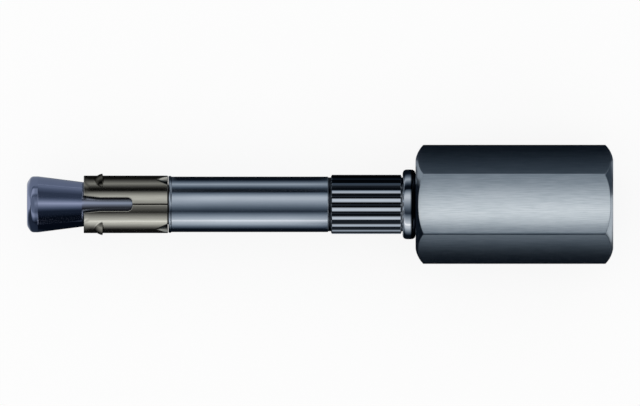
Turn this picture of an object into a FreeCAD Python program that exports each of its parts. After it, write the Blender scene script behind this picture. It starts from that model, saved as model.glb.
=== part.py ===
import FreeCAD, Part
import math
import os
import Sketcher

# Nail anchor for a 6 mm drilled hole, lying along X: the tip points to -X and the threaded
# hexagon to +X. The origin is on the axis, in the plane where the collar meets the wall.
# A hammer blow drives the bolt in up to its collar. When it is loaded, its cone is pulled
# into the clip, whose cams hold in the masonry, and the clip's three tongues spread.

# Driving sizes in millimetres, and angles in degrees.
driving = {
    # Expansion bolt, from the tip to the end of its hidden stud
    "embedment": 39.8,
    "tipDepth": 0.48,
    "tipDrop": 0.69,
    "coneDiameter": 5.94,
    "coneLand": 0.69,
    "coneLength": 7.04,
    "neckDiameter": 4.13,
    "neckLength": 6.78,
    "beadWidth": 0.31,
    "beadRise": 0.08,
    "beadChamfer": 0.1,
    "shankDiameter": 5.87,
    "shankEdge": 0.3,
    "runOutWidth": 0.28,
    "runOutDepth": 0.08,
    "knurlLength": 7.49,
    "knurlRise": 0.22,
    "knurlChamfer": 0.16,
    "knurlCount": 20,
    "knurlPhase": 2.0,
    "valleyDepth": 0.29,
    "valleyFloor": 0.2,
    "valleySlope": 0.7,
    "collarGap": 0.1,
    "collarDiameter": 7.39,
    "collarWidth": 1.37,
    "collarArc": 0.52,
    "studDiameter": 5.9,
    "studLength": 7.5,
    "studChamfer": 0.5,
    # Expansion clip, rolled from sheet round the neck
    "clipClearance": 0.05,
    "clipLength": 8.92,
    "sheetThickness": 0.93,
    "sheetEdge": 0.1,
    "seamWidth": 0.1,
    "tongueCount": 3,
    "slotLength": 5.15,
    "slotWidth": 1.45,
    "slotArc": 0.55,
    "flareLength": 1.72,
    "flareRise": 0.2,
    "camStart": 1.1,
    "camLength": 0.88,
    "camWall": 0.15,
    "camHeight": 0.52,
    "camRadius": 1.25,
    "camKneeLength": 0.38,
    "camKneeHeight": 0.35,
    "hollowLength": 0.62,
    "hollowHeight": 0.4,
    "hollowRadius": 0.75,
    "dentLength": 1.27,
    "dentTilt": 30.0,
    "dentSpread": 49.0,
    # Hexagon socket with its inside thread
    "acrossFlats": 11.0,
    "socketLength": 20.94,
    "cornerRadius": 0.3,
    "faceDiameter": 9.32,
    "crownLength": 0.88,
    "studClearance": 0.05,
    "rodCore": 6.65,
    "rodDepth": 12.4,
    "drillSlope": 0.6,
    "mouthDiameter": 8.3,
}

# Length by which a cutting profile runs past the surface that it leaves.
overrun = 0.5


class Size:
    # A number together with the sheet expression that it comes from.
    def __init__(self, number, text):
        self.number = number
        self.text = text

    def __neg__(self):
        return Size(-self.number, "(-%s)" % self.text)

    def __add__(self, other):
        return combine(self, "+", other)

    def __radd__(self, other):
        return combine(other, "+", self)

    def __sub__(self, other):
        return combine(self, "-", other)

    def __rsub__(self, other):
        return combine(other, "-", self)

    def __mul__(self, other):
        return combine(self, "*", other)

    def __truediv__(self, other):
        return combine(self, "/", other)


def asSize(value):
    return value if isinstance(value, Size) else Size(value, "(%r)" % value)


def combine(first, sign, second):
    first, second = asSize(first), asSize(second)
    results = {
        "+": lambda: first.number + second.number,
        "-": lambda: first.number - second.number,
        "*": lambda: first.number * second.number,
        "/": lambda: first.number / second.number,
    }
    return Size(results[sign](), "(%s %s %s)" % (first.text, sign, second.text))


def tangent(angle):
    return Size(math.tan(math.radians(angle.number)), "tan(%s)" % angle.text)


def makeSheet(document):
    sheet = document.addObject("Spreadsheet::Sheet", "sizes")
    for row, (alias, value) in enumerate(driving.items(), start=1):
        sheet.set("A%d" % row, alias)
        sheet.set("B%d" % row, str(value))
        sheet.setAlias("B%d" % row, alias)
    document.recompute()
    return {alias: Size(value, "sizes." + alias) for alias, value in driving.items()}


def makeBody(label):
    body = doc.addObject("PartDesign::Body", label)
    body.Label = label
    body.Placement = FreeCAD.Placement()
    return body


def addSketch(body, name, role, right=0, up=0, out=0, turn=0):
    # Sketch on an origin plane of its body, moved to the right, up or out of it, and turned.
    sketch = body.newObject("Sketcher::SketchObject", name)
    plane = next(f for f in body.Origin.OriginFeatures if f.Role == role)
    sketch.AttachmentSupport = [(plane, "")]
    sketch.MapMode = "FlatFace"
    zAxis = FreeCAD.Vector(0, 0, 1)
    sketch.AttachmentOffset = FreeCAD.Placement(FreeCAD.Vector(), FreeCAD.Rotation(zAxis, 1))
    sketch.setExpression("AttachmentOffset.Base.x", asSize(right).text)
    sketch.setExpression("AttachmentOffset.Base.y", asSize(up).text)
    sketch.setExpression("AttachmentOffset.Base.z", asSize(out).text)
    sketch.setExpression("AttachmentOffset.Rotation.Angle", asSize(turn).text)
    return sketch


def bindConstraint(sketch, kind, references, size):
    index = sketch.addConstraint(Sketcher.Constraint(kind, *references, size.number))
    sketch.setExpression("Constraints[%d]" % index, size.text)


def clockwiseArc(start, end, radius):
    chord = end - start
    toCentre = FreeCAD.Vector(chord.y, -chord.x, 0).normalize()
    height = math.sqrt(max(radius**2 - (chord.Length / 2) ** 2, 0))
    centre = (start + end) / 2 + toCentre * height
    middle = centre - toCentre * radius
    return Part.Arc(start, middle, end)


def drawOutline(sketch, corners):
    # Closed outline through corners of (x, y) or (x, y, radius). A radius makes the side from
    # that corner to the next one an arc that turns clockwise.
    points = [FreeCAD.Vector(asSize(c[0]).number, asSize(c[1]).number, 0) for c in corners]
    firstEnds, lastEnds = [], []
    for index, corner in enumerate(corners):
        start, end = points[index], points[(index + 1) % len(points)]
        if len(corner) == 3:
            side = sketch.addGeometry(clockwiseArc(start, end, corner[2].number), False)
            bindConstraint(sketch, "Radius", (side,), corner[2])
        else:
            side = sketch.addGeometry(Part.LineSegment(start, end), False)
        # An arc always runs anticlockwise, so a clockwise one begins at its end point.
        firstEnds.append((side, 2 if len(corner) == 3 else 1))
        lastEnds.append((side, 1 if len(corner) == 3 else 2))
    for index, corner in enumerate(corners):
        sketch.addConstraint(Sketcher.Constraint("Coincident", *lastEnds[index - 1], *firstEnds[index]))
        for kind, value, axis in (("DistanceX", corner[0], -2), ("DistanceY", corner[1], -1)):
            if isinstance(value, Size):
                bindConstraint(sketch, kind, (-1, 1, *firstEnds[index]), value)
            else:
                sketch.addConstraint(Sketcher.Constraint("PointOnObject", *firstEnds[index], axis))


def addFeature(body, kind, name, **settings):
    feature = body.newObject("PartDesign::" + kind, name)
    for key, value in settings.items():
        if isinstance(value, Size):
            feature.setExpression(key, value.text)
        else:
            setattr(feature, key, value)
    body.Tip = feature
    doc.recompute()
    return feature


def turnProfile(body, kind, name, sketch):
    # A full turn of the sketch about its own horizontal axis.
    return addFeature(body, kind, name, Profile=sketch, ReferenceAxis=(sketch, ["H_Axis"]), Angle=360.0)


def repeatRound(body, name, originals, count):
    xAxis = next(f for f in body.Origin.OriginFeatures if f.Role == "X_Axis")
    return addFeature(
        body, "PolarPattern", name, Originals=originals, Axis=(xAxis, [""]), Angle=360.0, Occurrences=count
    )


def makeBolt():
    bolt = makeBody("expansion_bolt")
    profile = addSketch(bolt, "bolt_profile", "XZ_Plane")
    runOutRadius = shankRadius - size["runOutDepth"]
    collarRadius = size["collarDiameter"] / 2
    collarLand = collarRadius - size["collarArc"]
    studRadius = size["studDiameter"] / 2
    studEnd = collarFace + size["studLength"]
    beadCrest = shankRadius + size["beadRise"]
    beadEnd = shoulder + size["beadWidth"]
    drawOutline(
        profile,
        [
            (tip, 0),
            (tip, coneRadius - size["tipDrop"]),
            (tip + size["tipDepth"], coneRadius),
            (coneEnd, coneRadius),
            (neckStart, neckRadius),
            (shoulder, neckRadius),
            (shoulder, beadCrest - size["beadChamfer"]),
            (shoulder + size["beadChamfer"], beadCrest),
            (beadEnd - size["beadChamfer"], beadCrest),
            (beadEnd, shankRadius),
            (runOutStart - size["shankEdge"], shankRadius),
            (runOutStart, runOutRadius),
            (knurlStart, runOutRadius),
            (knurlStart, shankRadius),
            (knurlStart + size["knurlChamfer"], knurlRadius),
            (knurlEnd - size["knurlChamfer"], knurlRadius),
            (knurlEnd, shankRadius),
            (knurlEnd, runOutRadius),
            (0, runOutRadius),
            (0, collarLand, size["collarArc"]),
            (size["collarArc"], collarRadius),
            (collarFace - size["collarArc"], collarRadius, size["collarArc"]),
            (collarFace, collarLand),
            (collarFace, studRadius),
            (studEnd - size["studChamfer"], studRadius),
            (studEnd, studRadius - size["studChamfer"]),
            (studEnd, 0),
        ],
    )
    turnProfile(bolt, "Revolution", "bolt_blank", profile)

    # One valley of the straight knurl, cut back from the collar's side, then all of them.
    floorHalf = size["valleyFloor"] / 2
    valleyRoot = knurlRadius - size["valleyDepth"]
    valleyTop = knurlRadius + overrun
    topHalf = floorHalf + (valleyTop - valleyRoot) * size["valleySlope"]
    valley = addSketch(bolt, "knurl_valley_section", "YZ_Plane", out=knurlEnd, turn=size["knurlPhase"])
    drawOutline(
        valley,
        [(-floorHalf, valleyRoot), (floorHalf, valleyRoot), (topHalf, valleyTop), (-topHalf, valleyTop)],
    )
    cut = addFeature(bolt, "Pocket", "knurl_valley", Profile=valley, Length=size["knurlLength"])
    repeatRound(bolt, "knurl", [cut], size["knurlCount"])
    return bolt


def makeClip():
    clip = makeBody("expansion_clip")
    blank = addSketch(clip, "clip_blank_profile", "XZ_Plane")
    edge = size["sheetEdge"]
    drawOutline(
        blank,
        [
            (clipMouth, 0),
            (clipMouth, clipRadius - edge),
            (clipMouth + edge, clipRadius),
            (clipRear - edge, clipRadius),
            (clipRear, clipRadius - edge),
            (clipRear, 0),
        ],
    )
    turnProfile(clip, "Revolution", "clip_blank", blank)

    # A cam is pressed out of the sheet: it rises from the mouth's side, steeply up to a knee and
    # then less, and ends in a short steep wall, which holds against the masonry under load.
    camAxis = clipRadius + size["camHeight"] - size["camRadius"]
    camFront = clipMouth + size["camStart"]
    camPeak = camFront + size["camLength"]
    camFoot = size["camRadius"] - size["camHeight"]
    camProfile = addSketch(clip, "cam_profile", "XZ_Plane", up=-camAxis)
    drawOutline(
        camProfile,
        [
            (camFront, 0),
            (camFront, camFoot),
            (camFront + size["camKneeLength"], camFoot + size["camKneeHeight"]),
            (camPeak, size["camRadius"]),
            (camPeak + size["camWall"], camFoot),
            (camPeak + size["camWall"], 0),
        ],
    )
    cam = turnProfile(clip, "Revolution", "cam", camProfile)
    repeatRound(clip, "cams", [cam], size["tongueCount"])

    # The inside follows the neck and the start of the cone at one clearance.
    borePlay = size["clipClearance"]
    coneSlope = (coneRadius - neckRadius) / size["coneLength"]
    boreStart = clipMouth - overrun
    bore = addSketch(clip, "clip_bore_profile", "XZ_Plane")
    drawOutline(
        bore,
        [
            (boreStart, 0),
            (boreStart, neckRadius + borePlay + (neckStart - boreStart) * coneSlope),
            (neckStart, neckRadius + borePlay),
            (clipRear + overrun, neckRadius + borePlay),
            (clipRear + overrun, 0),
        ],
    )
    turnProfile(clip, "Groove", "clip_bore", bore)

    # The press leaves a hollow under each cam.
    hollowAxis = neckRadius + borePlay + size["hollowHeight"] - size["hollowRadius"]
    hollowProfile = addSketch(clip, "cam_hollow_profile", "XZ_Plane", up=-hollowAxis)
    hollowFoot = size["hollowRadius"] - size["hollowHeight"]
    drawOutline(
        hollowProfile,
        [
            (camPeak - size["hollowLength"], 0),
            (camPeak - size["hollowLength"], hollowFoot),
            (camPeak, size["hollowRadius"]),
            (camPeak, 0),
        ],
    )
    hollow = turnProfile(clip, "Groove", "cam_hollow", hollowProfile)

    # A dent at the rear edge is a scoop that widens and deepens up to the edge.
    dentReach = size["dentLength"] + overrun
    dentProfile = addSketch(
        clip,
        "dent_profile",
        "XZ_Plane",
        right=clipRear - size["dentLength"],
        up=-clipRadius,
        turn=-size["dentTilt"],
    )
    drawOutline(
        dentProfile,
        [(0, 0), (dentReach, dentReach * tangent(size["dentSpread"])), (dentReach, 0)],
    )
    dent = turnProfile(clip, "Groove", "dent", dentProfile)

    # A slot between two tongues, parallel at its rounded end and flared at the mouth.
    slotHalf = size["slotWidth"] / 2
    slotEnd = clipMouth + size["slotLength"]
    slotArc = size["slotArc"]
    flareHalf = slotHalf + size["flareRise"]
    flareEnd = clipMouth + size["flareLength"]
    slotOutline = addSketch(clip, "slot_outline", "XY_Plane")
    drawOutline(
        slotOutline,
        [
            (boreStart, -flareHalf),
            (boreStart, flareHalf),
            (clipMouth, flareHalf),
            (flareEnd, slotHalf),
            (slotEnd - slotArc, slotHalf, slotArc),
            (slotEnd, slotHalf - slotArc),
            (slotEnd, slotArc - slotHalf, slotArc),
            (slotEnd - slotArc, -slotHalf),
            (flareEnd, -slotHalf),
            (clipMouth, -flareHalf),
        ],
    )
    slot = addFeature(clip, "Pocket", "slot", Profile=slotOutline, Type="ThroughAll", Reversed=True)
    repeatRound(clip, "tongues", [hollow, dent, slot], size["tongueCount"])

    # The seam where the rolled sheet's two edges meet runs from one slot to the rear edge.
    seamHalf = size["seamWidth"] / 2
    seamStart = slotEnd - slotArc
    seamOutline = addSketch(clip, "seam_outline", "XY_Plane")
    drawOutline(
        seamOutline,
        [
            (seamStart, -seamHalf),
            (seamStart, seamHalf),
            (clipRear + overrun, seamHalf),
            (clipRear + overrun, -seamHalf),
        ],
    )
    addFeature(clip, "Pocket", "seam", Profile=seamOutline, Type="ThroughAll", Reversed=True)
    return clip


def alongX(edge):
    ends = [vertex.Point for vertex in edge.Vertexes]
    return len(ends) == 2 and abs((ends[1] - ends[0]).x) > 0.9 * edge.Length


def makeSocket():
    socket = makeBody("threaded_hex_socket")
    # The hexagon has a flat at the top and at the bottom, and a corner at each side.
    flat = size["acrossFlats"] / 2
    corner = size["acrossFlats"] / math.sqrt(3)
    section = addSketch(socket, "hexagon_section", "YZ_Plane", out=collarFace)
    drawOutline(
        section,
        [
            (corner, 0),
            (corner / 2, -flat),
            (-corner / 2, -flat),
            (-corner, 0),
            (-corner / 2, flat),
            (corner / 2, flat),
        ],
    )
    bar = addFeature(socket, "Pad", "hexagon_bar", Profile=section, Length=size["socketLength"])
    longEdges = ["Edge%d" % n for n, edge in enumerate(bar.Shape.Edges, start=1) if alongX(edge)]
    addFeature(socket, "Fillet", "bar_corners", Base=(bar, longEdges), Radius=size["cornerRadius"])

    # Each end is turned to a crown round its flat face.
    faceRadius = size["faceDiameter"] / 2
    outside = corner + overrun
    left = addSketch(socket, "wall_crown_profile", "XZ_Plane")
    drawOutline(
        left,
        [
            (collarFace, faceRadius),
            (collarFace + size["crownLength"], corner),
            (collarFace + size["crownLength"], outside),
            (collarFace - overrun, outside),
            (collarFace - overrun, faceRadius),
        ],
    )
    turnProfile(socket, "Groove", "wall_crown", left)
    right = addSketch(socket, "mouth_crown_profile", "XZ_Plane")
    drawOutline(
        right,
        [
            (mouthFace - size["crownLength"], corner),
            (mouthFace, faceRadius),
            (mouthFace + overrun, faceRadius),
            (mouthFace + overrun, outside),
            (mouthFace - size["crownLength"], outside),
        ],
    )
    turnProfile(socket, "Groove", "mouth_crown", right)

    # The stud's hole comes from the wall side and the rod's core hole from the mouth.
    studHole = size["studDiameter"] / 2 + size["studClearance"]
    coreRadius = size["rodCore"] / 2
    mouthRadius = size["mouthDiameter"] / 2
    drillEnd = mouthFace - size["rodDepth"]
    bores = addSketch(socket, "bore_profile", "XZ_Plane")
    drawOutline(
        bores,
        [
            (collarFace - overrun, 0),
            (collarFace - overrun, studHole),
            (drillEnd - (coreRadius - studHole) * size["drillSlope"], studHole),
            (drillEnd, coreRadius),
            (mouthFace - (mouthRadius - coreRadius), coreRadius),
            (mouthFace, mouthRadius),
            (mouthFace + overrun, mouthRadius),
            (mouthFace + overrun, 0),
        ],
    )
    turnProfile(socket, "Groove", "bores", bores)
    return socket


def checkBody(body):
    for part in [body] + body.Group:
        if {"Invalid", "Error"} & set(part.State):
            raise RuntimeError("%s failed: %s" % (part.Name, part.State))
    if body.Shape.isNull() or not body.Shape.isValid() or len(body.Shape.Solids) != 1:
        raise RuntimeError("%s is not one valid solid" % body.Label)
    # Each cut must remove material and each addition must bring some.
    for feature in body.Group:
        base = getattr(feature, "BaseFeature", None)
        if base is None or feature.TypeId == "PartDesign::PolarPattern":
            continue
        gain = feature.Shape.Volume - base.Shape.Volume
        adds = feature.TypeId == "PartDesign::Revolution"
        if (gain > 0) != adds:
            raise RuntimeError("%s changed the volume by %.3f" % (feature.Name, gain))


doc = FreeCAD.newDocument("nail_anchor")
size = makeSheet(doc)

# Places along the axis and radii that more than one piece uses.
tip = -size["embedment"]
coneEnd = tip + size["tipDepth"] + size["coneLand"]
neckStart = coneEnd + size["coneLength"]
shoulder = neckStart + size["neckLength"]
knurlEnd = -size["collarGap"]
knurlStart = knurlEnd - size["knurlLength"]
runOutStart = knurlStart - size["runOutWidth"]
collarFace = size["collarWidth"]
mouthFace = collarFace + size["socketLength"]
coneRadius = size["coneDiameter"] / 2
neckRadius = size["neckDiameter"] / 2
shankRadius = size["shankDiameter"] / 2
knurlRadius = shankRadius + size["knurlRise"]
clipRear = shoulder - size["clipClearance"]
clipMouth = clipRear - size["clipLength"]
clipRadius = neckRadius + size["clipClearance"] + size["sheetThickness"]

pieces = [makeBolt(), makeClip(), makeSocket()]
doc.recompute()
for piece in pieces:
    checkBody(piece)

os.makedirs("parts", exist_ok=True)
for piece in pieces:
    piece.Shape.exportStep("parts/%s.step" % piece.Label)
    print(piece.Label, round(piece.Shape.Volume, 2), piece.Shape.BoundBox)
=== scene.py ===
import math

import bmesh
import bpy
import numpy as np
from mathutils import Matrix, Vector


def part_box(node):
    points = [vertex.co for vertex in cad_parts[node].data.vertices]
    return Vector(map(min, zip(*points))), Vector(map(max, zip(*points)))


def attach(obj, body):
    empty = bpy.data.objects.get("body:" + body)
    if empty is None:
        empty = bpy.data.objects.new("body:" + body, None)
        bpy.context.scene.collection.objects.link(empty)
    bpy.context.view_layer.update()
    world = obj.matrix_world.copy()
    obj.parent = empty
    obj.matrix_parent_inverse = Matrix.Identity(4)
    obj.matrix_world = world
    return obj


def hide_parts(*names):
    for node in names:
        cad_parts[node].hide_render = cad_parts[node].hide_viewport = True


# Nail anchor lying along X, seen from straight above, with its hexagon at the right. All
# sizes are in millimetres and become metres when a mesh is made.

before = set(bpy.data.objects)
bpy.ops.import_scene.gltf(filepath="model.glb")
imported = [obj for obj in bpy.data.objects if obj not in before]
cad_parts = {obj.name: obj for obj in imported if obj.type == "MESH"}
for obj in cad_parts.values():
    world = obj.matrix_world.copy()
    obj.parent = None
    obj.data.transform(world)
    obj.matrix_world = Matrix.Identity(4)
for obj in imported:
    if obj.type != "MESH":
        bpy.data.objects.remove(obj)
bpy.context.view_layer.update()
print("frame loaded:", sorted(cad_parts))

mm = 0.001
boltLow, boltHigh = (np.array(corner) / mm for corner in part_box("expansion_bolt"))
clipLow, clipHigh = (np.array(corner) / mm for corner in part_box("expansion_clip"))
hexLow, hexHigh = (np.array(corner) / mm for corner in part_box("threaded_hex_socket"))


def srgb(code):
    # Hex colour to linear red, green and blue.
    parts = np.array([int(code[i : i + 2], 16) for i in (1, 3, 5)]) / 255
    linear = np.where(parts <= 0.04045, parts / 12.92, ((parts + 0.055) / 1.055) ** 2.4)
    return (*linear.tolist(), 1.0)


def addNode(tree, kind, inputs=None, stops=None, **settings):
    # One node with its settings. An input is a value, or another node's output to link. Stops
    # are a colour ramp's (place, colour or grey level) pairs.
    node = tree.nodes.new(kind)
    for key, value in settings.items():
        setattr(node, key, value)
    for key, value in (inputs or {}).items():
        if isinstance(value, bpy.types.NodeSocket):
            tree.links.new(value, node.inputs[key])
        else:
            node.inputs[key].default_value = value
    if stops:
        elements = node.color_ramp.elements
        while len(elements) < len(stops):
            elements.new(0.5)
        for element, (place, value) in zip(elements, stops):
            element.position = place
            element.color = srgb(value) if isinstance(value, str) else (value, value, value, 1)
    return node


def newMaterial(name):
    material = bpy.data.materials.new(name)
    material.use_nodes = True
    material.node_tree.nodes.clear()
    return material, material.node_tree


def parabola(start, corner, end, t):
    # (1-t)^2 a + 2t(1-t) b + t^2 c: leaves a towards b and arrives at c from b.
    return (1 - t) ** 2 * start + 2 * t * (1 - t) * corner + t**2 * end


def roundedPath(corners, steps=4):
    # Path through corners of (along, out, trim). A corner with a trim becomes a parabola from
    # its trim before the corner to its trim after it. One more point beyond each end, at most
    # just short of the middle of the side, keeps the shading of the straights clean.
    beyondTrim, mostOfSide = 1.3, 0.48
    places = np.array([corner[:2] for corner in corners], float)
    points = []
    for index, (_, _, trim) in enumerate(corners):
        here = places[index]
        if trim == 0:
            points.append(here)
            continue
        sides = []
        for other in (places[index - 1], places[index + 1]):
            length = np.linalg.norm(other - here)
            reach = min(beyondTrim * trim, mostOfSide * length)
            sides.append(((other - here) / length, reach))
        (back, backReach), (ahead, aheadReach) = sides
        t = np.linspace(0, 1, steps + 1)[:, None]
        curve = parabola(here + trim * back, here, here + trim * ahead, t)
        points += [here + backReach * back, *curve, here + aheadReach * ahead]
    return np.array(points)


def gridFaces(rows, columns, roundRows=False, roundColumns=True):
    # Four-sided faces between neighbours of a grid of vertices, turned outwards where rows go
    # towards +X and columns go from the top towards -Y.
    number = np.arange(rows * columns).reshape(rows, columns)
    if roundColumns:
        number = np.hstack([number, number[:, :1]])
    if roundRows:
        number = np.vstack([number, number[:1]])
    corners = (number[:-1, :-1], number[:-1, 1:], number[1:, 1:], number[1:, :-1])
    return np.stack(corners, axis=-1).reshape(-1, 4)


def aroundAxis(along, radius, angle):
    # Points at a radius from the X axis. The angle is 0 at the top and grows towards -Y.
    along, radius, angle = np.broadcast_arrays(along, radius, angle)
    points = np.stack([along, -radius * np.sin(angle), radius * np.cos(angle)], axis=-1)
    return points.reshape(-1, 3)


def makeObject(name, points, faces, material, sharpAngle=40):
    # A mesh from points in millimetres, smooth up to the sharp angle.
    mesh = bpy.data.meshes.new(name)
    mesh.from_pydata((points * mm).tolist(), [], faces)
    mesh.polygons.foreach_set("use_smooth", [True] * len(mesh.polygons))
    mesh.set_sharp_from_angle(angle=math.radians(sharpAngle))
    mesh.materials.append(material)
    thing = bpy.data.objects.new(name, mesh)
    bpy.context.scene.collection.objects.link(thing)
    return thing


def addPiece(thing, node):
    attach(thing, "root")
    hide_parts(node)


# Expansion bolt: a turned blank with a straight knurl. The trims are those of its corners.

bolt = {
    "tipFace": 2.28,
    "tipDepth": 0.48,
    "tipTrim": 0.26,
    "coneRadius": 2.97,
    "coneLand": 0.69,
    "neckStart": -31.59,
    "neckRadius": 2.065,
    "neckTrim": 0.5,
    "shoulder": -24.81,
    "shoulderTrim": 0.12,
    "beadWidth": 0.31,
    "beadRise": 0.08,
    "beadTrims": (0.13, 0.1),
    "shankRadius": 2.935,
    "shankEdge": 0.05,
    "runOutStart": -7.87,
    "runOutRadius": 2.855,
    "knurlStart": -7.59,
    "knurlEnd": -0.1,
    "knurlRadius": 3.155,
    "knurlChamfer": 0.1,
    "knurlTrim": 0.05,
    "toothCount": 20,
    "firstValley": math.radians(1.2),
    "valleyDepth": 0.29,
    "valleyFloor": 0.2,
    "valleyTop": 0.606,
    "toothRound": 0.17,
    "floorTrim": 0.04,
    "keptHeight": 0.02,
    "collarFace": 1.37,
    "collarRound": 0.48,
    "studRadius": 2.95,
    "studChamfer": 0.5,
    "studTrim": 0.08,
    "footTrim": 0.03,
    "sharpTrim": 0.02,
}


def boltProfile():
    tip, studEnd = boltLow[0], boltHigh[0]
    coneStart = tip + bolt["tipDepth"]
    beadEnd = bolt["shoulder"] + bolt["beadWidth"]
    beadCrest = bolt["shankRadius"] + bolt["beadRise"]
    chamfer, knurlRadius, knurlTrim = bolt["knurlChamfer"], bolt["knurlRadius"], bolt["knurlTrim"]
    shankRadius, runOutRadius = bolt["shankRadius"], bolt["runOutRadius"]
    studRadius, studChamfer = bolt["studRadius"], bolt["studChamfer"]
    foot, sharp = bolt["footTrim"], bolt["sharpTrim"]
    return roundedPath(
        [
            (tip, bolt["tipFace"] / 2, 0),
            (tip, bolt["tipFace"], bolt["tipTrim"]),
            (coneStart, bolt["coneRadius"], bolt["tipTrim"]),
            (coneStart + bolt["coneLand"], bolt["coneRadius"], sharp),
            (bolt["neckStart"], bolt["neckRadius"], bolt["neckTrim"]),
            (bolt["shoulder"], bolt["neckRadius"], bolt["shoulderTrim"]),
            (bolt["shoulder"], beadCrest, bolt["beadTrims"][0]),
            (beadEnd, beadCrest, bolt["beadTrims"][1]),
            (beadEnd, shankRadius, foot),
            (bolt["runOutStart"] - bolt["shankEdge"], shankRadius, sharp),
            (bolt["runOutStart"], runOutRadius, sharp),
            (bolt["knurlStart"], runOutRadius, sharp),
            (bolt["knurlStart"], shankRadius, foot),
            (bolt["knurlStart"] + chamfer, knurlRadius, knurlTrim),
            (bolt["knurlEnd"] - chamfer, knurlRadius, knurlTrim),
            (bolt["knurlEnd"], shankRadius, foot),
            (bolt["knurlEnd"], runOutRadius, sharp),
            (0, runOutRadius, sharp),
            (0, boltHigh[1], bolt["collarRound"]),
            (bolt["collarFace"], boltHigh[1], bolt["collarRound"]),
            (bolt["collarFace"], studRadius, sharp),
            (studEnd - studChamfer, studRadius, bolt["studTrim"]),
            (studEnd, studRadius - studChamfer, bolt["studTrim"]),
            (studEnd, studRadius / 2, 0),
        ]
    )


def toothOutline():
    # One pitch of the knurl from the middle of a valley to the next: (turn, radius) points of
    # a flat floor, two flanks and a crest that is rounded over.
    crest = bolt["knurlRadius"]
    root = crest - bolt["valleyDepth"]
    pitch = 2 * math.pi * crest / bolt["toothCount"]
    floor, top = bolt["valleyFloor"] / 2, bolt["valleyTop"] / 2
    path = roundedPath(
        [
            (0, root, 0),
            (floor, root, bolt["floorTrim"]),
            (top, crest, bolt["toothRound"]),
            (pitch - top, crest, bolt["toothRound"]),
            (pitch - floor, root, bolt["floorTrim"]),
            (pitch, root, 0),
        ]
    )
    return path[:-1, 0] / crest, path[:-1, 1]


def makeBolt(material):
    profile = boltProfile()
    turn, toothRadius = toothOutline()
    teeth = np.arange(bolt["toothCount"])[:, None] * 2 * math.pi / bolt["toothCount"]
    angle = (bolt["firstValley"] + teeth + turn).ravel()
    valley = np.tile(toothRadius, bolt["toothCount"])
    along, radius = profile[:, :1], profile[:, 1:]
    # Inside the knurl a point above the cut valley drops to it, but keeps a little of its
    # height, so that no two rows meet.
    sameRow = 0.001
    inKnurl = (along > bolt["knurlStart"] - sameRow) & (along < bolt["knurlEnd"] + sameRow)
    kept = bolt["keptHeight"] * np.maximum(radius - valley, 0)
    radius = np.where(inKnurl, np.minimum(radius, valley + kept), radius)
    points = aroundAxis(along, radius, angle)
    # Both ends close with a fan round a point on the axis.
    count = len(angle)
    last = len(points) - count
    ends = np.array([[boltLow[0], 0, 0], [boltHigh[0], 0, 0]])
    ring = np.arange(count)
    nextRing = np.roll(ring, -1)
    tipPole, studPole = np.full(count, len(points)), np.full(count, len(points) + 1)
    faces = gridFaces(len(profile), count).tolist()
    faces += np.stack([tipPole, nextRing, ring], axis=-1).tolist()
    faces += np.stack([studPole, last + ring, last + nextRing], axis=-1).tolist()
    thing = makeObject("coneBolt", np.vstack([points, ends]), faces, material)
    addPiece(thing, "expansion_bolt")


# Expansion clip: sheet rolled round the neck, with three tongues, cams and dents.

clip = {
    "tongues": 3,
    "outside": 3.045,
    "inside": 2.115,
    "coneSlope": 0.1286,
    "boreStraight": -31.59,
    "edgeRound": 0.07,
    "slotHalf": 0.725,
    "slotEnd": -28.63,
    "slotRound": 0.55,
    "flareEnd": -32.06,
    "flareRise": 0.2,
    "seamHalf": 0.05,
    "camStart": -32.68,
    "camPeak": -31.8,
    "camFoot": -31.65,
    "camHeight": 0.52,
    "camRadius": 1.25,
    "camArc": 1.3,
    "hollowDepth": 0.4,
    "dentLength": 1.27,
    "dentTilt": math.radians(30),
    "dentSpread": math.radians(49),
    "fillet": 0.035,
    "behindSlot": 0.004,
    "columns": 74,
}


def smoothLarger(a, b, width):
    # The larger of two heights, with a fillet where they cross.
    blend = np.clip(0.5 + 0.5 * (a - b) / width, 0, 1)
    return b + (a - b) * blend + width * blend * (1 - blend)


def slotFlare(along):
    # How much wider the slot is at a place along X near the mouth, on each side.
    length = clip["flareEnd"] - clipLow[0]
    return clip["flareRise"] * np.clip((clip["flareEnd"] - along) / length, 0, 1)


def slotHalfWidth(along):
    # Half the slot's width at a place along X: flared at the mouth and round at the end.
    turn = clip["slotEnd"] - clip["slotRound"]
    into = np.clip(along - turn, 0, clip["slotRound"])
    rounding = clip["slotRound"] - np.sqrt(clip["slotRound"] ** 2 - into**2)
    half = clip["slotHalf"] + slotFlare(along) - rounding
    return np.where(along > clip["slotEnd"], 0, half)


def edgeDistance(along, across):
    # Distance from the slot's outline, outside it: that of a box with rounded corners.
    beyond = along - (clip["slotEnd"] - clip["slotRound"])
    aside = np.abs(across) - slotFlare(along) - (clip["slotHalf"] - clip["slotRound"])
    outside = np.hypot(np.maximum(beyond, 0), np.maximum(aside, 0))
    return outside + np.minimum(np.maximum(beyond, aside), 0) - clip["slotRound"]


def roundedDrop(distance, radius):
    # How far a rounded edge has fallen at a distance from that edge.
    inside = np.clip(radius - distance, 0, radius)
    return radius - np.sqrt(radius**2 - inside**2)


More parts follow.
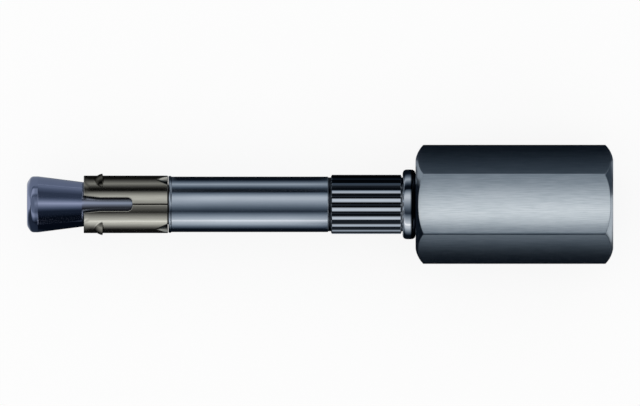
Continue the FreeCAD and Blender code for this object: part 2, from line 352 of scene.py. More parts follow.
def camSurface(along, turn):
    # A cam is a part of a small cylinder whose radius grows along X on an arc, like a shell,
    # and then ends in a steep wall. The turn is the angle from the middle of the tongue. The
    # surface is a distance from the clip's axis, and 0 where there is no cam.
    foot = clip["camRadius"] - clip["camHeight"]
    axis = clip["outside"] - foot
    length = clip["camPeak"] - clip["camStart"]
    chord = math.hypot(length, clip["camHeight"])
    sag = math.sqrt(clip["camArc"] ** 2 - chord**2 / 4)
    centreX = length / 2 + clip["camHeight"] / chord * sag
    centreR = foot + clip["camHeight"] / 2 - length / chord * sag
    into = np.clip(along - clip["camStart"], 0, length)
    shell = centreR + np.sqrt(np.maximum(clip["camArc"] ** 2 - (into - centreX) ** 2, 0))
    wall = (along - clip["camPeak"]) / (clip["camFoot"] - clip["camPeak"])
    small = np.where(wall > 0, clip["camRadius"] - np.clip(wall, 0, 1) * clip["camHeight"], shell)
    small = np.where((along < clip["camStart"]) | (wall > 1), 0, small)
    reach = small**2 - (axis * np.sin(turn)) ** 2
    return np.where(reach > 0, axis * np.cos(turn) + np.sqrt(np.maximum(reach, 0)), 0)


def dentSurface(along, turn):
    # A dent is a cone whose point lies on the sheet and whose axis is tilted out of it. The
    # depth below the sheet's tangent plane solves a w^2 + b w - c = 0, and is above the sheet
    # where there is no dent.
    into = np.maximum(along - (clipHigh[0] - clip["dentLength"]), 0)
    across = clip["outside"] * np.sin(turn)
    cosTilt, sinTilt = math.cos(clip["dentTilt"]), math.sin(clip["dentTilt"])
    spread = math.cos(clip["dentSpread"]) ** 2
    a = spread - sinTilt**2
    b = 2 * cosTilt * sinTilt * into
    c = (cosTilt**2 - spread) * into**2 - spread * across**2
    depth = np.where(c > 0, (-b + np.sqrt(np.maximum(b**2 + 4 * a * c, 0))) / (2 * a), -1)
    return (clip["outside"] - depth) / np.cos(turn)


def tongueGrid():
    # Rows along X, dense at the edges, the cam, the slot's end and the dent, with a few on the
    # plain lengths between them, which keep a little clear of the dense ones. The edge steps
    # are the distances of the rows and columns that follow each free edge.
    mouth, rear, edge = clipLow[0], clipHigh[0], clip["edgeRound"]
    edgeSteps = edge * np.array([0, 0.08, 0.25, 0.5, 0.75, 1, 1.3])
    turnStart = clip["slotEnd"] - clip["slotRound"]
    slotTurn = turnStart + clip["slotRound"] * np.sin(np.linspace(0, math.pi / 2, 11))
    dentStart = rear - clip["dentLength"]
    rows = np.concatenate(
        [
            mouth + edgeSteps,
            np.linspace(mouth + 0.3, clip["camStart"] - 0.06, 4),
            np.linspace(clip["camStart"], clip["camPeak"], 22),
            np.linspace(clip["camPeak"], clip["camFoot"], 6)[1:],
            clip["camFoot"] + np.array([0.03, 0.1]),
            np.linspace(clip["camFoot"] + 0.3, turnStart - 0.15, 8),
            slotTurn,
            clip["slotEnd"] + clip["behindSlot"] + edgeSteps,
            np.linspace(clip["slotEnd"] + 0.25, dentStart - 0.05, 5),
            np.linspace(dentStart, rear - 1.6 * edge, 24),
            rear - edgeSteps[::-1],
        ]
    )
    return np.unique(rows.round(5)), edgeSteps


def tonguePoints(rows, edgeSteps, surface, tongue):
    # Vertices of one tongue on the outer or inner surface of the sheet. Its columns follow its
    # two sides at the edge steps and share out the rest. The first and the last tongue meet
    # at the seam.
    halfShare = math.pi / clip["tongues"]
    middle = (tongue + 0.5) * 2 * halfShare
    half = slotHalfWidth(rows)
    seamSides = {0: (0,), clip["tongues"] - 1: (1,)}.get(tongue, ())
    radius = clip["outside"] if surface == "outer" else clip["inside"]
    sides = []
    for side in (0, 1):
        reach = np.maximum(half, clip["seamHalf"]) if side in seamSides else half
        sides.append(np.arcsin(reach / radius)[:, None])
    left = sides[0] + edgeSteps / radius
    right = 2 * halfShare - sides[1] - edgeSteps[::-1] / radius
    share = np.linspace(0, 1, clip["columns"])[1:-1]
    between = left[:, -1:] + (right[:, :1] - left[:, -1:]) * share
    turn = np.hstack([left, between, right]) - halfShare
    along = np.broadcast_to(rows[:, None], turn.shape)
    fromSides = []
    for side, sign in ((0, 1), (1, -1)):
        across = radius * np.sin(turn * sign + halfShare)
        distance = edgeDistance(along, across)
        if side in seamSides:
            fromSeam = np.where(along > clip["slotEnd"], across - clip["seamHalf"], distance)
            distance = np.minimum(distance, fromSeam)
        fromSides.append(distance)
    fromEdge = np.minimum.reduce([*fromSides, along - clipLow[0], clipHigh[0] - along])
    drop = roundedDrop(np.maximum(fromEdge, 0), clip["edgeRound"])
    if surface == "outer":
        height = smoothLarger(radius, camSurface(along, turn), clip["fillet"])
        height = -smoothLarger(-height, -dentSurface(along, turn), clip["fillet"])
        height = height - drop
    else:
        flared = clip["coneSlope"] * np.maximum(clip["boreStraight"] - along, 0)
        hollow = np.clip((camSurface(along, turn) - clip["outside"]) / clip["camHeight"], 0, 1)
        height = radius + flared + clip["hollowDepth"] * hollow + drop
    return aroundAxis(along, height, turn + middle)


def makeClip(material):
    rows, edgeSteps = tongueGrid()
    slotRow = int(np.searchsorted(rows, clip["slotEnd"] + clip["behindSlot"] / 2))
    points, faces, start = [], [], 0
    for tongue in range(clip["tongues"]):
        outer = tonguePoints(rows, edgeSteps, "outer", tongue)
        inner = tonguePoints(rows, edgeSteps, "inner", tongue)
        columns = len(outer) // len(rows)
        number = np.arange(len(outer)).reshape(len(rows), columns)
        sheet = gridFaces(len(rows), columns, roundColumns=False)
        faces += (sheet + start).tolist()
        faces += (sheet[:, ::-1] + start + len(outer)).tolist()
        # The cut walls join the outer and inner surfaces round the tongue's free edges.
        leftEnd = len(rows) if tongue == 0 else slotRow + 1
        rightEnd = len(rows) if tongue == clip["tongues"] - 1 else slotRow + 1
        mouth, rear = number[0, ::-1], number[-1, :]
        edges = [mouth, number[:leftEnd, 0], rear, number[:rightEnd, -1][::-1]]
        for edge in edges:
            a, b = edge[:-1], edge[1:]
            wall = np.stack([a, b, b + len(outer), a + len(outer)], axis=-1)
            faces += (wall + start).tolist()
        points += [outer, inner]
        start += 2 * len(outer)
    thing = makeObject("rolledClip", np.vstack(points), faces, material)
    mergeDoubles(thing.data)
    addPiece(thing, "expansion_clip")


def mergeDoubles(mesh):
    # Joins the tongues behind the slots, where they share their vertices.
    samePlace = 0.0005
    work = bmesh.new()
    work.from_mesh(mesh)
    bmesh.ops.remove_doubles(work, verts=work.verts, dist=samePlace * mm)
    work.to_mesh(mesh)
    work.free()


# Threaded hexagon: drawn bar with turned crowns, a stud hole and an inside thread.

hexagon = {
    "cornerRadius": 0.3,
    "faceRadius": 4.66,
    "crownDepth": 0.82,
    "crownArc": 2.8,
    "edgeTrim": 0.05,
    "studHole": 3.0,
    "coreRadius": 3.325,
    "threadRadius": 4.0,
    "threadPitch": 1.25,
    "threadDepth": 12.4,
    "threadCrest": 0.25,
    "threadFlank": 0.3125,
    "threadStart": 0.6,
    "threadRows": 16,
    "drillSlope": 0.6,
    "mouthRadius": 4.15,
    "edgeRing": 0.03,
    "studRing": 0.02,
    "studRow": 0.3,
}


def hexOutline():
    # Columns round the hexagon as (turn, radius): flats with a flat on top, joined by small
    # arcs at the corners. Half a side goes from the flat's middle to the corner.
    flat, corner = hexHigh[2], hexagon["cornerRadius"]
    halfSide = math.pi / 6
    acrossFlat = (flat - corner) * math.tan(halfSide) * np.array([0, 0.25, 0.5, 0.75, 0.92, 0.985])
    arc = np.linspace(0, halfSide, 7)
    arcCentre = (flat - corner) / math.cos(halfSide)
    y = np.concatenate([acrossFlat, arcCentre * math.sin(halfSide) + corner * np.sin(arc)])
    z = np.concatenate(
        [np.full_like(acrossFlat, flat), arcCentre * math.cos(halfSide) + corner * np.cos(arc)]
    )
    turns, radii = np.arctan2(y, z), np.hypot(y, z)
    # The mirror image about the corner completes a side, and there are six.
    turns = np.concatenate([turns, math.pi / 3 - turns[-2:0:-1]])
    radii = np.concatenate([radii, radii[-2:0:-1]])
    sides = np.arange(6)[:, None] * math.pi / 3
    return (sides + turns).ravel(), np.tile(radii, 6)


def crownRows(radii):
    # A domed crown: an arc through the end face's circle and the corner's foot. It stops at
    # the hexagon's own radius on each column and ends in a small rounding, with one more row
    # beyond it. Rows are depths from the end and radii, from the face outwards.
    beyondTrim = 1.5
    rise = hexHigh[1] - hexagon["faceRadius"]
    chord = math.hypot(rise, hexagon["crownDepth"])
    sag = math.sqrt(hexagon["crownArc"] ** 2 - chord**2 / 4)
    centreDepth = hexagon["crownDepth"] / 2 + rise / chord * sag
    centreOut = rise / 2 - hexagon["crownDepth"] / chord * sag

    def depthAt(radius):
        out = radius - hexagon["faceRadius"] - centreOut
        return centreDepth - np.sqrt(hexagon["crownArc"] ** 2 - out**2)

    trim = hexagon["edgeTrim"]
    share = np.array([0.0, 0.1, 0.3, 0.5, 0.7, 0.88, 1.0])[:, None]
    crownOut = hexagon["faceRadius"] + share * (radii - trim - hexagon["faceRadius"])
    crownDepth = depthAt(crownOut)
    cornerDepth = depthAt(radii)[None]
    t = np.linspace(0, 1, 6)[1:, None]
    roundDepth = parabola(crownDepth[-1:], cornerDepth, cornerDepth + trim, t)
    roundOut = parabola(crownOut[-1:], radii, radii, t)
    depths = np.vstack([crownDepth, roundDepth, cornerDepth + beyondTrim * trim])
    return depths, np.vstack([crownOut, roundOut, radii])


def threadRadius(along, angle):
    # A right-hand thread cut into the core hole: the phase runs once per pitch and per turn,
    # and gives a flat crest, two flanks and a narrow root, whose widths are shares of a pitch.
    # The cut fades out at the bottom.
    phase = (along / hexagon["threadPitch"] + angle / (2 * math.pi)) % 1
    fromCrest = 0.5 - np.abs(phase - 0.5) - hexagon["threadCrest"] / 2
    flank = np.clip(fromCrest / hexagon["threadFlank"], 0, 1)
    start = hexHigh[0] - hexagon["threadDepth"] + hexagon["threadStart"]
    fade = np.clip((along - start) / hexagon["threadPitch"], 0, 1)
    cut = hexagon["threadRadius"] - hexagon["coreRadius"]
    return hexagon["coreRadius"] + cut * flank * fade


def makeHexagon(material):
    # One section after the other from the stud's end: outside, mouth, thread and stud's hole.
    angle, radii = hexOutline()
    left, right = hexLow[0], hexHigh[0]
    depth, out = crownRows(radii)
    bottom = right - hexagon["threadDepth"]
    drillFoot = bottom - (hexagon["coreRadius"] - hexagon["studHole"]) * hexagon["drillSlope"]
    turns = hexagon["threadDepth"] / hexagon["threadPitch"]
    threadX = np.linspace(right, bottom, int(turns * hexagon["threadRows"]))
    thread = threadRadius(threadX[:, None], angle)
    mouthCone = hexagon["mouthRadius"] - (right - threadX)
    thread = np.maximum(thread, np.maximum(mouthCone, hexagon["coreRadius"])[:, None])
    studX = np.array([drillFoot, left + hexagon["studRow"], left])
    faceEdge = hexagon["faceRadius"] - hexagon["edgeRing"]
    studRing = np.array([hexagon["studHole"] + hexagon["studRing"], faceEdge])
    mouthRing = np.array([faceEdge, hexagon["mouthRadius"] + hexagon["edgeRing"]])
    sections = [
        (left + depth, out),
        (right - depth[::-1], out[::-1]),
        (np.full((2, 1), right), mouthRing[:, None]),
        (threadX[:, None], thread),
        (studX[:, None], np.full((3, 1), hexagon["studHole"])),
        (np.full((2, 1), left), studRing[:, None]),
    ]
    # Rows of each section widened to all columns.
    wide = [np.broadcast_arrays(along, radius, angle)[:2] for along, radius in sections]
    along, radius = (np.vstack(rows) for rows in zip(*wide))
    points = aroundAxis(along, radius, angle)
    faces = gridFaces(len(along), len(angle), roundRows=True).tolist()
    thing = makeObject("threadedHexagon", points, faces, material, sharpAngle=30)
    addPiece(thing, "threaded_hex_socket")


# Finishes. Distances are in millimetres along X or from the axis. The bolt's colour changes
# from a little before a border to a little after it. A fade gives the two distances between
# which a painted shade fades in or out, and the rear edge's are shares of the sheet's rounding.

finish = {
    "before": 0.04,
    "after": 0.02,
    "gapStart": 0.02,
    "gapEnd": 0.04,
    "knurlEdge": 0.024,
    "valleyShade": 0.075,
    "crestShade": 0.004,
    "slickEdge": 0.17,
    "slickGloss": 0.6,
    "insideFade": (0.4, 0.1),
    "insideShadeLevel": 0.99,
    "rearFade": (1.3, 0.7),
    "rearShadeLevel": 0.85,
    "camFade": (0.01, 0.06),
    "camShadeLevel": 0.72,
    "ringFade": (0.005, 0.02),
    "drawingLines": 0.02,
}


def stretchedNoise(tree, place, grain, detail=3.0):
    # Noise whose grains have the given lengths in millimetres along X, Y and Z.
    scale = tuple(1 / (size * mm) for size in grain)
    stretch = addNode(tree, "ShaderNodeMapping", {"Vector": place, "Scale": scale})
    noise = addNode(
        tree, "ShaderNodeTexNoise", {"Vector": stretch.outputs[0], "Scale": 1.0, "Detail": detail}
    )
    return noise.outputs["Fac"]


def fromAxis(tree, place):
    # Distance from the X axis.
    squash = {0: place, 1: (0.0, 1.0, 1.0)}
    across = addNode(tree, "ShaderNodeVectorMath", squash, operation="MULTIPLY").outputs["Vector"]
    return addNode(tree, "ShaderNodeVectorMath", {0: across}, operation="LENGTH").outputs["Value"]


def alongAxis(tree, place):
    return addNode(tree, "ShaderNodeSeparateXYZ", {"Vector": place}).outputs["X"]


def ramp(tree, value, low, high, start, end):
    # A level that goes from start to end while the value goes from low to high.
    inputs = {"Value": value, "From Min": low, "From Max": high, "To Min": start, "To Max": end}
    return addNode(tree, "ShaderNodeMapRange", inputs).outputs["Result"]


def placeRamp(tree, place, low, high, start, end):
    # The same for a place that a node gives in metres, between two places in millimetres.
    return ramp(tree, place, low * mm, high * mm, start, end)


def mathNode(tree, operation, *values):
    inputs = dict(enumerate(values))
    return addNode(tree, "ShaderNodeMath", inputs, operation=operation).outputs[0]


def colourRamp(tree, value, stops):
    return addNode(tree, "ShaderNodeValToRGB", {"Fac": value}, stops=stops).outputs["Color"]


def mixColours(tree, factor, first, second, blend="MIX"):
    # The mix node's colour sockets are inputs 6 and 7 and output 2.
    inputs = {0: factor, 6: first, 7: second}
    return addNode(tree, "ShaderNodeMix", inputs, data_type="RGBA", blend_type=blend).outputs[2]


def finishMetal(tree, base, rough, lines, strength, gloss=1.0):
    # A metal whose fine lines vary its roughness between two values and its slope a little.
    # The gloss factor scales the roughness.
    roughness = mathNode(tree, "MULTIPLY", ramp(tree, lines, 0.0, 1.0, *rough), gloss)
    relief = {"Strength": strength, "Distance": finish["drawingLines"] * mm, "Height": lines}
    normal = addNode(tree, "ShaderNodeBump", relief).outputs["Normal"]
    metal = {"Base Color": base, "Metallic": 1.0, "Roughness": roughness, "Normal": normal}
    shader = addNode(tree, "ShaderNodeBsdfPrincipled", metal)
    addNode(tree, "ShaderNodeOutputMaterial", {"Surface": shader.outputs[0]})


def zincBolt():
    # Bright zinc over cold-formed steel: a cool blue-white mirror, slightly softened by the
    # plating, with faint lines left by the drawing die. The cone end is slicker and bluer. Painted
    # shade darkens the neck in the clip, the run-out groove, the gap at the collar and the knurl's
    # valleys.
    material, tree = newMaterial("brightZincPlating")
    place = addNode(tree, "ShaderNodeTexCoord").outputs["Object"]
    # The share runs from the tip at 0 to the collar's far face at 1.
    tip, end = boltLow[0], bolt["collarFace"]
    share = placeRamp(tree, alongAxis(tree, place), tip, end, 0.0, 1.0)

    def shareAt(along):
        return (along - tip) / (end - tip)

    # Painted shade: the neck grows a little darker from the clip's mouth to the slot's end and is
    # near black under the clip.
    cone, mouth, slotShade, underClipShade = "#AEB9DA", "#ABB5D0", "#A2AEC4", "#0C0E12"
    zinc, grooveShade, gapShade, collar = "#CBD8E6", "#2A2F36", "#15181C", "#D2DCE6"
    changes = [
        (clipLow[0], cone, mouth),
        (clip["slotEnd"], slotShade, underClipShade),
        (bolt["shoulder"], underClipShade, zinc),
        # Painted shade: the run-out groove is painted dark.
        (bolt["runOutStart"], zinc, grooveShade),
        (bolt["knurlStart"], grooveShade, zinc),
        # Painted shade: the gap between the knurl and the collar is painted dark.
        (bolt["knurlEnd"] + finish["gapStart"], zinc, gapShade),
        (finish["gapEnd"], gapShade, collar),
    ]
    stops = []
    for where, before, after in changes:
        stops.append((shareAt(where - finish["before"]), before))
        stops.append((shareAt(where + finish["after"]), after))
    colour = colourRamp(tree, share, stops)
    mottle = stretchedNoise(tree, place, (4.0, 1.6, 1.6))
    tone = colourRamp(tree, mottle, [(0.3, 0.93), (0.7, 1.0)])
    base = mixColours(tree, 1.0, colour, tone, "MULTIPLY")
    # Painted shade: valleys darken below the crests, inside the knurl only.
    knurlStart, knurlEnd, edge = bolt["knurlStart"], bolt["knurlEnd"], finish["knurlEdge"]
    places = (knurlStart - edge, knurlStart, knurlEnd, knurlEnd + edge)
    stops = [(shareAt(along), level) for along, level in zip(places, (0.0, 1.0, 1.0, 0.0))]
    inKnurl = colourRamp(tree, share, stops)
    low, high = (bolt["knurlRadius"] - finish[key] for key in ("valleyShade", "crestShade"))
    depth = placeRamp(tree, fromAxis(tree, place), low, high, 1.0, 0.0)
    shade = mathNode(tree, "MULTIPLY", inKnurl, depth)
    base = mixColours(tree, shade, base, srgb("#20262E"))
    lines = stretchedNoise(tree, place, (6.0, 0.16, 0.16))
    slickEnd = shareAt(bolt["shoulder"] - finish["slickEdge"])
    stops = [(slickEnd, finish["slickGloss"]), (shareAt(bolt["shoulder"]), 1.0)]
    gloss = colourRamp(tree, share, stops)
    finishMetal(tree, base, (0.09, 0.14), lines, 0.06, gloss)
    return material


def rolledStainless():
    # Cold-rolled stainless sheet: a neutral, slightly warm grey with a fine rolling grain. The
    # inside, the cut walls' lower part, the rear edge and the pressed cams are darkened with
    # painted shade.
    material, tree = newMaterial("rolledStainless")
    place = addNode(tree, "ShaderNodeTexCoord").outputs["Object"]
    grain = stretchedNoise(tree, place, (2.5, 0.14, 0.14))
    base = colourRamp(tree, grain, [(0.3, "#CDCCC2"), (0.7, "#D8D8CF")])
    # Painted shade: the inside of the sheet, the deep parts of its cut walls and dents, and its
    # rear edge where it meets the bolt's bead are painted near black.
    low, high = (clip["outside"] - depth for depth in finish["insideFade"])
    inner = placeRamp(tree, fromAxis(tree, place), low, high, finish["insideShadeLevel"], 0.0)
    low, high = (clipHigh[0] - share * clip["edgeRound"] for share in finish["rearFade"])
    rear = placeRamp(tree, alongAxis(tree, place), low, high, 0.0, finish["rearShadeLevel"])
    base = mixColours(tree, mathNode(tree, "MAXIMUM", inner, rear), base, srgb("#1E1D1B"))
    # Painted shade: the raised cams are painted darker.
    low, high = (clip["outside"] + rise for rise in finish["camFade"])
    camShade = placeRamp(tree, fromAxis(tree, place), low, high, 0.0, finish["camShadeLevel"])
    base = mixColours(tree, camShade, base, srgb("#4A4842"))
    finishMetal(tree, base, (0.14, 0.2), grain, 0.06)
    return material


def zincHexagon():
    # Zinc over drawn hexagonal bar: satin, with short bright and dark drawing lines along X.
    # The sawn ring that meets the collar is darkened with painted shade.
    material, tree = newMaterial("satinZincPlating")
    place = addNode(tree, "ShaderNodeTexCoord").outputs["Object"]
    lines = stretchedNoise(tree, place, (1.8, 0.1, 0.1), detail=4.0)
    patches = stretchedNoise(tree, place, (7.0, 0.8, 0.8), detail=2.0)
    mixed = mathNode(tree, "MULTIPLY_ADD", patches, 0.35, lines)
    base = colourRamp(tree, mixed, [(0.52, "#BAC8D2"), (0.82, "#CEDAE3")])
    # Painted shade: the end face that meets the collar is painted dark.
    low, high = (hexLow[0] + reach for reach in finish["ringFade"])
    collarContactShade = placeRamp(tree, alongAxis(tree, place), low, high, 1.0, 0.0)
    base = mixColours(tree, collarContactShade, base, srgb("#3A4048"))
    finishMetal(tree, base, (0.26, 0.36), lines, 0.08)
    return material


# Studio: a pale floor, an even world, and tents of soft cards that only reflections see. The
# felt is the level between the cards. Borders are the places along X where the long tent's
# light changes. The last three values place the picture: its scale, and the column and row
# of the middle of the collar's wall side.

studio = {
    "floorHalf": 1500.0,
    "floorGlow": 0.88,
    "tentColumns": 720,
    "tentRadius": 200.0,
    "tentEnd": 400.0,
    "tentEndRadius": 0.5,
    "tentBottom": 5.4,
    "ledgeAngle": 91.0,
    "ledgeReach": 45.0,
    "lowSteepness": 1.46,
    "noseBorder": -38.0,
    "clipBorder": -25.0,
    "clipBorderLean": 0.02,
    "beyondMargin": 2.0,
    "beyondLeast": -7.4,
    "tailBorder": 60.0,
    "fadeLength": 150.0,
    "softening": 0.03,
    "hexTentRadius": 9.5,
    "clipTentRadius": 4.4,
    "funnelGap": 0.08,
    "funnelLength": 0.6,
    "slotPast": 0.02,
    "slotSoftness": 2.0,
    "knurlTentEnd": -0.05,
    "knurlTentRadius": 3.5,
    "collarTentRadius": 4.2,
    "collarDark": 1.05,
    "collarFade": 0.25,
    "felt": 0.006,
    "tint": 0.1,
    "cameraHeight": 200.0,
    "pictureWidth": 640,
    "pictureHeight": 406,
    "pixelsPerMm": 9.44,
    "axisColumn": 402.6,
    "axisRow": 204.35,
}

# Each soft card: level, where its light starts, is full from, is full to and ends, in degrees
# round X from the top towards -Y, and the powers of its two soft edges. An angle is that of
# the light that the middle of the named surface reflects upwards.
bandCards = [
    (0.46, -126, -93, -90, -62, 2, 2),
    (0.69, -52, -30, -21, 45, 1, 2.2),
    (0.74, 31, 66, 84, 128, 1, 2),
    (0.44, 67, 70, 73, 78, 1, 1),
]
clipCards = [
    (0.28, -130, -93, -90, -64, 2, 2),
    (0.62, -56, -30, -21, 45, 1, 2),
    (0.68, 33, 68, 84, 124, 1, 2),
    (0.34, 67, 70.5, 74, 79, 1, 1),
]
neckCards = [
    (0.6, -30, -10, -6, 35, 1, 2.2),
]
knurlCards = [
    (0.07, -110, -92, -86, -62, 1, 1),
    (0.34, -80, -50, 140, 170, 1, 1),
    (0.44, -62, -40, 62, 140, 1, 1),
]
coneCards = [
    (0.26, -175, -165, -82, -51, 1, 1),
    (0.6, -36, -5, -3, 34, 2, 2),
    (0.07, -70, -50, -32, 25, 1, 1),
    (0.02, 0, 20, 40, 60, 1, 1),
]
noseCards = [
    (0.5, -75, -66, -48, -34, 1, 1),
    (0.24, -40, -30, 50, 60, 1, 1),
    (0.25, 32, 42, 60, 78, 1, 1),
    (0.28, -160, -146, -84, -70, 1, 1),
    (0.035, 72, 86, 146, 160, 1, 1),
    (0.55, -240, -230, -166, -146, 1, 1),
    (0.55, 146, 180, 230, 240, 2, 1),
]
tailCards = [
    (0.8, -145, -118, -75, -50, 1, 1),
    (0.6, -36, -5, -3, 34, 2, 2),
    (0.7, 55, 80, 120, 150, 1, 1),
]
hexCards = [
    (0.1, -95, -66, -60, -20, 1, 2),
    (0.29, -62, -54, 12, 48, 1, 1),
    (0.77, -15, 4, 8, 16.5, 1, 1),
    (0.46, 63, 68, 71, 92, 1, 2),
]


def cardLight(angle, cards):
    # Light of all cards at an angle: each rises and falls as a power across its soft edges.
    total = np.full_like(angle, studio["felt"])
    for level, start, fullFrom, fullTo, end, startPower, endPower in cards:
        up = np.clip((angle - start) / (fullFrom - start), 0, 1) ** startPower
        down = np.clip((end - angle) / (end - fullTo), 0, 1) ** endPower
        total = total + level * up * down
    return total


def zoneShare(along, border, reach):
    # 0 before a border along X and 1 after it, softer where the tent is further away.
    return np.clip((along - border) / (1 + studio["softening"] * reach) + 0.5, 0, 1)


def boltLight(along, seen, reach):
    # The cone leans its reflections towards +X, most at its top. High up they pass the shank's
    # part of the tent and meet the part beyond the knurl, near the floor they stay beside the
    # clip, and the tip's and the cams' reflections go towards -X.
    sets = (noseCards, coneCards, bandCards, tailCards)
    nose, cone, bands, tail = (cardLight(seen, cards) for cards in sets)
    lean = 2 * clip["coneSlope"] * np.cos(np.radians(seen) / 2)
    beyond = (boltLow[0] + lean * reach + bolt["runOutStart"]) / 2 - studio["beyondMargin"]
    beyond = np.maximum(beyond, studio["beyondLeast"])
    besideClip = studio["clipBorder"] - studio["clipBorderLean"] * reach
    light = nose + (cone - nose) * zoneShare(along, studio["noseBorder"], reach)
    light = light + (bands - cone) * zoneShare(along, besideClip, reach)
    light = light + (cone - bands) * zoneShare(along, beyond, reach)
    light = light + (tail - cone) * zoneShare(along, studio["tailBorder"], reach)
    return light * np.clip((studio["tentEnd"] - along) / studio["fadeLength"], 0, 1)


def sameAlong(cards):
    # Light that is the same all along a tent.
    def light(along, seen, reach):
        return cardLight(seen, cards)

    return light


def clipLight(along, seen, reach):
    # The neck looks through the slot at the top of the clip's tent and has its own card there.
    clipLevel, neckLevel = cardLight(seen, clipCards), cardLight(seen, neckCards)
    slotEdge = np.degrees(2 * np.arcsin(slotHalfWidth(along) / clip["outside"]))
    through = np.clip((slotEdge - np.abs(seen)) / studio["slotSoftness"], 0, 1)
    return clipLevel + (neckLevel - clipLevel) * through


def collarLight(along, seen, reach):
    # The collar's side towards the hexagon stays dark.
    fade = np.clip((studio["collarDark"] - along) / studio["collarFade"], 0, 1)
    return cardLight(seen, bandCards) * fade


def seenLow(angle, radius):
    # A point below the anchor's middle is seen at a steeper angle than from the axis.
    below = np.maximum(np.abs(angle) - 90, 0)
    steep = np.minimum(np.abs(angle), 90) + studio["lowSteepness"] * below
    return np.broadcast_to(np.sign(angle) * steep, (len(radius), len(angle)))


def seenClose(surface):
    # A surface turned by an angle looks at twice that angle and meets a close tube short of it
    # by the parallax. This goes the other way round.
    def seen(angle, radius):
        turned = np.linspace(-math.pi / 2, math.pi / 2, 181)
        met = 2 * turned - np.arcsin(np.sin(turned) * surface / radius)
        return np.array([np.interp(angle, np.degrees(row), np.degrees(2 * turned)) for row in met])

    return seen


def hangLight(name, points, faces, level, tint):
    # A surface with a brightness at each vertex, which only reflections see, and only from its
    # front. With a tint, dim light is bluer: red falls faster than green and blue slower.
    material, tree = newMaterial(name + "Light")
    colour = addNode(tree, "ShaderNodeAttribute", attribute_name="level").outputs["Color"]
    glow = addNode(tree, "ShaderNodeEmission", {"Color": colour, "Strength": 1.0})
    clear = addNode(tree, "ShaderNodeBsdfTransparent")
    behind = addNode(tree, "ShaderNodeNewGeometry").outputs["Backfacing"]
    sides = {0: behind, 1: glow.outputs[0], 2: clear.outputs[0]}
    both = addNode(tree, "ShaderNodeMixShader", sides)
    addNode(tree, "ShaderNodeOutputMaterial", {"Surface": both.outputs[0]})
    material.cycles.emission_sampling = "NONE"
    thing = makeObject(name, points, faces, material)
    level = np.ravel(level)
    red = (1 + tint / 2) * level ** (1 + tint)
    blue = (1 - tint / 3) * level ** (1 - tint)
    values = np.stack([red, level, blue, np.ones_like(level)], axis=-1)
    attribute = thing.data.attributes.new("level", "FLOAT_COLOR", "POINT")
    attribute.data.foreach_set("color", values.ravel().astype(np.float32))
    for kind in ("camera", "diffuse", "transmission", "volume_scatter", "shadow"):
        setattr(thing, "visible_" + kind, False)


def makeTent(name, rows, toSeen, light, tint):
    # A tube round the X axis through rows of (along, radius), flat just above the floor. A
    # little below the horizon it steps inwards, so that the cone's reflections jump from the
    # part beyond the knurl to the part beside the clip and miss the shank's part.
    angle = np.linspace(-180, 180, studio["tentColumns"], endpoint=False)
    along, radius = np.array(rows, float).T[:, :, None]
    below = np.abs(angle) > studio["ledgeAngle"]
    radius = np.where(below, np.minimum(radius, studio["ledgeReach"]), radius)
    almostLevel = 1e-6
    downward = np.maximum(-np.cos(np.radians(angle)), almostLevel)
    reach = np.minimum(radius, studio["tentBottom"] / downward)
    points = aroundAxis(along, reach, np.radians(angle))
    level = light(along, toSeen(angle, radius[:, :1]), reach)
    inwards = gridFaces(len(rows), len(angle))[:, ::-1]
    hangLight(name, points, inwards.tolist(), level, tint)


def makeCard(name, along, sides, heights, level, facing):
    # An upright card square to X, between two sides along Y and two heights, which faces +X
    # or -X. A flag is a dark card.
    (left, right), (low, high) = sides, heights
    corners = [(along, left, low), (along, right, low), (along, right, high), (along, left, high)]
    order = (0, 1, 2, 3) if facing > 0 else (3, 2, 1, 0)
    hangLight(name, np.array(corners, float), [order], np.full(4, level), studio["tint"])


def makeFloor():
    # The camera and reflections see most of the floor's level as its own glow, so that it
    # stays even. The rest is lit by the world and takes the shadow.
    half, z = studio["floorHalf"], hexLow[2]
    corners = np.array([[-half, -half, z], [half, -half, z], [half, half, z], [-half, half, z]])
    material, tree = newMaterial("paleFloor")
    rays = addNode(tree, "ShaderNodeLightPath")
    seen = rays.outputs["Is Camera Ray"]
    for name in ("Is Glossy Ray", "Is Transmission Ray"):
        seen = mathNode(tree, "MAXIMUM", seen, rays.outputs[name])
    part = mathNode(tree, "MULTIPLY", seen, studio["floorGlow"])
    white = srgb("#FDFDFD")
    matt = addNode(tree, "ShaderNodeBsdfDiffuse", {"Color": white})
    glow = addNode(tree, "ShaderNodeEmission", {"Color": white, "Strength": 1.0})
    parts = {0: part, 1: matt.outputs[0], 2: glow.outputs[0]}
    both = addNode(tree, "ShaderNodeMixShader", parts)
    addNode(tree, "ShaderNodeOutputMaterial", {"Surface": both.outputs[0]})
    floor = makeObject("floor", corners, [(0, 1, 2, 3)], material)


def makeWorld():
    world = bpy.data.worlds.new("evenWhite")
    bpy.context.scene.world = world
    world.use_nodes = True
    tree = world.node_tree
    tree.nodes.clear()
    sky = addNode(tree, "ShaderNodeBackground", {"Color": srgb("#FFFFFF"), "Strength": 1.0})
    addNode(tree, "ShaderNodeOutputWorld", {"Surface": sky.outputs[0]})


def makeCamera():
    # Parallel view from straight above, placed by the picture's scale, column and row.
    nearest, furthest = 1.0, 10000.0
    data = bpy.data.cameras.new("above")
    data.type = "ORTHO"
    data.ortho_scale = studio["pictureWidth"] / studio["pixelsPerMm"] * mm
    data.clip_start, data.clip_end = nearest * mm, furthest * mm
    camera = bpy.data.objects.new("above", data)
    x = (studio["pictureWidth"] / 2 - studio["axisColumn"]) / studio["pixelsPerMm"]
    y = (studio["axisRow"] - studio["pictureHeight"] / 2) / studio["pixelsPerMm"]
    camera.location = (x * mm, y * mm, studio["cameraHeight"] * mm)
    bpy.context.scene.collection.objects.link(camera)
    bpy.context.scene.camera = camera


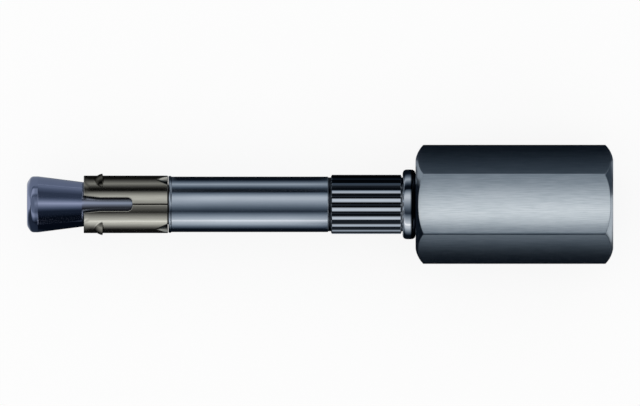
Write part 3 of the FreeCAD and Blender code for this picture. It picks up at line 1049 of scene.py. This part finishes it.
def hangTents():
    # The long tent is closed at both ends, and has more rows where its light changes along X.
    places = [-400, -250, -120, -70, -55, -48, -44, *range(-42, -36), -33, *range(-31, -22), -18]
    places += [*range(-12, 6), 8, 12, 20, 60, 250, 400]
    end, endRadius, tint = studio["tentEnd"], studio["tentEndRadius"], studio["tint"]
    rows = [(-end, endRadius)]
    rows += [(place, studio["tentRadius"]) for place in places]
    rows += [(end, endRadius)]
    makeTent("boltTent", rows, seenLow, boltLight, tint)
    rows = [(place, studio["hexTentRadius"]) for place in (1.0, 12.0, 23.0)]
    makeTent("hexTent", rows, seenLow, sameAlong(hexCards), tint)
    # The other tents close round one surface each. The clip's opens like a funnel at its
    # mouth, so that the cone's reflections pass it, and has more rows at the slot's end. The
    # collar's has more rows where its light fades.
    funnelEnd, slotEnd = clipLow[0] + studio["funnelLength"], clip["slotEnd"]
    slotPlaces = np.linspace(slotEnd - clip["slotRound"], slotEnd + studio["slotPast"], 7)
    places = [funnelEnd, clip["flareEnd"], *slotPlaces, clipHigh[0]]
    rows = [(clipLow[0], clip["outside"] + studio["funnelGap"])]
    rows += [(place, studio["clipTentRadius"]) for place in places]
    makeTent("clipTent", rows, seenClose(clip["outside"]), clipLight, 0.0)
    places = (bolt["knurlStart"], studio["knurlTentEnd"])
    rows = [(place, studio["knurlTentRadius"]) for place in places]
    makeTent("knurlTent", rows, seenClose(bolt["knurlRadius"]), sameAlong(knurlCards), tint)
    rows = [(place, studio["collarTentRadius"]) for place in (-1.6, 0.0, 0.8, 0.9, 1.05, 1.36)]
    makeTent("collarTent", rows, seenClose(boltHigh[1]), collarLight, tint)


# The upright cards, for the crowns, the collar's and the hexagon's ends, and the cone: place
# along X, sides along Y, heights, level and the side that it faces.
uprightCards = {
    "leftCrownCard": (-2.0, (3.6, 9.0), (-1.0, 5.0), 0.35, 1),
    "leftCrownFlag": (0.7, (4.9, 12.0), (-5.3, 1.8), 0.03, 1),
    "upperFlag": (1.15, (-9.0, 2.2), (3.3, 9.0), 0.01, 1),
    "lowerFlag": (-1.7, (-12.0, -3.75), (-5.3, 3.72), 0.01, 1),
    "coneFlag": (-25.5, (-140.0, -38.0), (-5.3, 1.5), 0.008, -1),
    "rightCrownCard": (27.0, (-5.5, 1.2), (-5.3, 6.0), 0.62, -1),
    "rightCrownFlag": (23.1, (4.9, 12.0), (-5.3, 1.8), 0.03, -1),
    "rightDimCard": (27.2, (-14.0, 14.0), (-5.3, 9.0), 0.06, -1),
}

makeBolt(zincBolt())
print("bolt made")
makeClip(rolledStainless())
print("clip made")
makeHexagon(zincHexagon())
print("hexagon made")
hangTents()
for name, values in uprightCards.items():
    makeCard(name, *values)
makeFloor()
makeWorld()
makeCamera()
bpy.context.scene.view_settings.view_transform = "Standard"
print("studio made")
